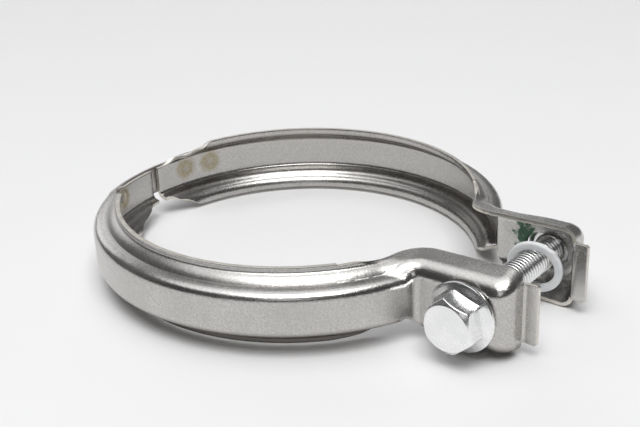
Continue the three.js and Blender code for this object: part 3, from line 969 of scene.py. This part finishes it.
def zinc_plate():
    """Bright zinc plating: faint cloudiness, fine pits, a few hairline scratches and painted shade in the
    thread's roots.
    """
    look = Look("zinc_plate", Metallic=1.0)
    place, wear_and_shade = look.object_vector(), look.wear_and_shade()
    cloud = look.noise(place, 160, 4.0, 0.6)
    pits = look.noise(place, 1500, 2.0, 0.6)
    turned = look.noise(look.scaled(place, (60, 2400, 60)), 1.0, 2.0, 0.5)
    line = look.node("TexNoise", {"Vector": look.scaled(place, (180, 40, 2600)), "Scale": 1.0,
                                  "Detail": 1.0}).outputs["Fac"]
    scratch = look.spread(line, 0.74, 0.78)
    colour = look.mixed(look.spread(cloud, 0.3, 0.7), (0.84, 0.85, 0.85, 1), (0.93, 0.93, 0.925, 1))
    colour = look.mixed(look.spread(wear_and_shade, 0.2, 1.0, 0, 0.45), colour, (0.95, 0.95, 0.94, 1))
    colour = look.mixed(look.maths("MULTIPLY", scratch, 0.5), colour, (0.22, 0.21, 0.20, 1))
    # Painted shade in the thread's roots, where the wear value is below zero
    colour = look.mixed(look.spread(wear_and_shade, 0.0, -1.0, 0, 0.8), colour, (0.20, 0.19, 0.18, 1))
    rough = look.spread(cloud, 0.3, 0.7, 0.2, 0.27)
    rough = look.maths("ADD", rough, look.spread(pits, 0.3, 0.8, -0.03, 0.08))
    height = look.maths("ADD", look.spread(pits, 0, 1, 0, 0.4), look.spread(turned, 0, 1, 0, 0.08))
    look.wire("Base Color", colour)
    look.wire("Roughness", rough)
    look.wire("Normal", look.bump(height, 0.000012, 0.5))
    return look.material


def spring_steel():
    """Cold-rolled spring strip: tight grain along its length and a faint blue-brown temper cast."""
    look = Look("spring_steel", Metallic=1.0)
    place, grain = look.object_vector(), look.grain_vector()
    lines = look.noise(look.scaled(grain, (0.6, 9.0, 1)), 1.0, 4.0, 0.65)
    cloud = look.noise(place, 110, 3.0)
    colour = look.mixed(look.spread(cloud, 0.3, 0.7), (0.40, 0.37, 0.35, 1), (0.58, 0.57, 0.56, 1))
    look.wire("Base Color", colour)
    look.wire("Roughness", look.spread(lines, 0.25, 0.75, 0.26, 0.42))
    look.wire("Normal", look.bump(lines, 0.00004, 0.6))
    return look.material


def milky_nylon():
    """Translucent moulded nylon with a satin skin and faint flow marks."""
    look = Look("milky_nylon", Roughness=0.42, IOR=1.53)
    look.shader.inputs["Subsurface Weight"].default_value = 0.55
    look.shader.inputs["Subsurface Radius"].default_value = (1.0, 1.0, 0.9)
    look.shader.inputs["Subsurface Scale"].default_value = 0.0014
    place = look.object_vector()
    flow = look.noise(place, 220, 3.0, 0.6)
    skin = look.noise(place, 2400, 2.0, 0.5)
    colour = look.mixed(look.spread(flow, 0.3, 0.7), (0.80, 0.85, 0.86, 1), (0.93, 0.93, 0.95, 1))
    look.wire("Base Color", colour)
    look.wire("Roughness", look.spread(skin, 0.3, 0.7, 0.34, 0.5))
    look.wire("Normal", look.bump(skin, 0.00003, 0.4))
    return look.material


def floor_paper():
    look = Look("floor_paper", Roughness=0.7)
    fibre = look.noise(look.object_vector(), 40, 3.0)
    look.wire("Base Color", look.mixed(fibre, (0.93, 0.93, 0.93, 1), (0.945, 0.945, 0.945, 1)))
    return look.material


# ---- The clamp -------------------------------------------------------------------------------------

edge = cut_edge()
front_steel = stainless("stainless_front", WELDS_FRONT)
rear_steel = stainless("stainless_rear", WELDS_REAR, painted=True)
zinc = zinc_plate()

front = HalfShell(
    FRONT_TAB,
    360 - HINGE_ANGLE - HINGE_GAP_ANGLE / 2,
    TOP_NEAR_EAR + FRONT_TOP_NEAR_HINGE,
    BOTTOM_NEAR_EAR + FRONT_BOTTOM_NEAR_HINGE,
).piece("front_half_sheet", -1, [front_steel, edge])
rear = HalfShell(
    REAR_TAB,
    HINGE_ANGLE - HINGE_GAP_ANGLE / 2,
    TOP_NEAR_EAR + REAR_TOP_NEAR_HINGE,
    [(station + REAR_ROOT_SHIFT, row) for station, row in BOTTOM_NEAR_EAR] + REAR_BOTTOM_NEAR_HINGE,
    lift=REAR_EAR_LIFT,
).piece("rear_half_sheet", 1, [rear_steel, edge])
cut_hole(front, -1, FRONT_SEAT, 0.0)
cut_hole(rear, 1, REAR_SEAT, REAR_SLOT_REACH)
front_disc = seat_disc("front_seat_disc", -1, FRONT_SEAT, 0.0, front_steel)
rear_disc = seat_disc("rear_seat_disc", 1, REAR_SEAT, REAR_SLOT_REACH, rear_steel)

pieces = [
    (front, "front_half", "stainless", ["front_shell"]),
    (rear, "rear_half", "stainless", ["rear_shell"]),
    (front_disc, "front_half", "stainless", []),
    (rear_disc, "rear_half", "stainless", []),
    (bolt_piece(zinc), "bolt", "zinc", ["clamp_bolt"]),
    (nut_piece(zinc), "nut", "zinc", ["clamp_nut"]),
    (retainer_piece(milky_nylon()), "ring", "nylon", ["retaining_ring"]),
]
for piece, body, slot, nodes in pieces:
    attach(piece, body)
    if nodes:
        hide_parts(*nodes)

# The strap bends between the welds nearest the gap
strap = strap_piece(spring_steel())
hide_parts("hinge_strap")
strap_start, strap_end = (to_frame(np.append(polar(WALL_R, turns[0]), MID_Z))
                          for turns in (WELDS_FRONT, WELDS_REAR))
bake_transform(strap, "front_half", "rear_half", start=tuple(strap_start), end=tuple(strap_end))

# ---- Studio, in metres -----------------------------------------------------------------------------

FLOOR_HALF_WIDE = 4
FLOOR_Z = -0.0002
SKY_COLOUR = (0.99, 0.99, 1.0, 1)

# Each glow of the sky: the direction of its middle, the cosines from that direction at which it starts and
# is full, and its strengths when full and beyond its edge
CEILING = ((-0.12, -0.05, 0.99), 0.80, 0.88, 1.1, 0.0)
PALE_SWEEP_BEHIND = ((-0.60, 0.70, 0.38), 0.93, 0.985, 0.7, 0.0)
WINDOW_ON_THE_LEFT = ((-0.88, 0.30, 0.36), 0.95, 0.985, 1.1, 0.0)
ROOM = ((-0.60, 0.74, 0.30), -0.3, 0.6, 0.15, 0.06)

LENS = 61.67
SENSOR_WIDTH = 36.0
CAMERA_PLACE = (186.941, -220.224, 138.841)
CAMERA_RIGHT = (0.785406, 0.617907, -0.036448)
CAMERA_UP = (-0.222924, 0.337302, 0.914621)

scene = bpy.context.scene
scene.view_settings.view_transform = "Standard"


def studio_floor():
    w, z = FLOOR_HALF_WIDE, FLOOR_Z
    mesh = bpy.data.meshes.new("studio_floor")
    mesh.from_pydata([(-w, -w, z), (w, -w, z), (w, w, z), (-w, w, z)], [], [(0, 1, 2, 3)])
    mesh.materials.append(floor_paper())
    object_of("studio_floor", mesh)


def glow(sky, direction, centre, edge, core, level, base):
    """Brightness that grows from base to level as the direction nears centre, between two cosines."""
    near = sky.nodes.new("ShaderNodeVectorMath")
    near.operation = "DOT_PRODUCT"
    near.inputs[1].default_value = centre
    sky.links.new(direction, near.inputs[0])
    spread = sky.nodes.new("ShaderNodeMapRange")
    spread.interpolation_type = "SMOOTHSTEP"
    for key, value in (("From Min", edge), ("From Max", core), ("To Min", base), ("To Max", level)):
        spread.inputs[key].default_value = value
    sky.links.new(near.outputs["Value"], spread.inputs["Value"])
    return spread.outputs["Result"]


def studio_sky():
    world = bpy.data.worlds.new("studio")
    world.use_nodes = True
    scene.world = world
    sky = world.node_tree
    direction = sky.nodes.new("ShaderNodeTexCoord").outputs["Generated"]
    brightness = glow(sky, direction, *CEILING)
    for part in (PALE_SWEEP_BEHIND, WINDOW_ON_THE_LEFT, ROOM):
        both = sky.nodes.new("ShaderNodeMath")
        sky.links.new(brightness, both.inputs[0])
        sky.links.new(glow(sky, direction, *part), both.inputs[1])
        brightness = both.outputs[0]
    background = sky.nodes["Background"]
    background.inputs["Color"].default_value = SKY_COLOUR
    sky.links.new(brightness, background.inputs["Strength"])


def soft_light(name, position, target, width, power):
    """A square light that faces target."""
    data = bpy.data.lights.new(name, "AREA")
    data.size = width
    data.energy = power
    light = bpy.data.objects.new(name, data)
    scene.collection.objects.link(light)
    light.location = position
    light.rotation_euler = (Vector(target) - Vector(position)).to_track_quat("-Z", "Y").to_euler()


def studio_camera():
    data = bpy.data.cameras.new("camera")
    data.sensor_width = SENSOR_WIDTH
    data.lens = LENS
    data.clip_start = 0.01
    camera = bpy.data.objects.new("camera", data)
    scene.collection.objects.link(camera)
    right, up = Vector(CAMERA_RIGHT), Vector(CAMERA_UP)
    turn = Matrix((right, up, right.cross(up))).transposed().to_4x4()
    camera.matrix_world = Matrix.Translation(to_frame(CAMERA_PLACE)) @ turn
    scene.camera = camera


studio_floor()
studio_sky()
soft_light("overhead", (0.44, -0.54, 1.7), (0, 0, 0), 1.2, 20)
soft_light("camera_side", (0.55, -0.9, 0.55), (0.02, 0, 0.01), 0.4, 0.4)
studio_camera()
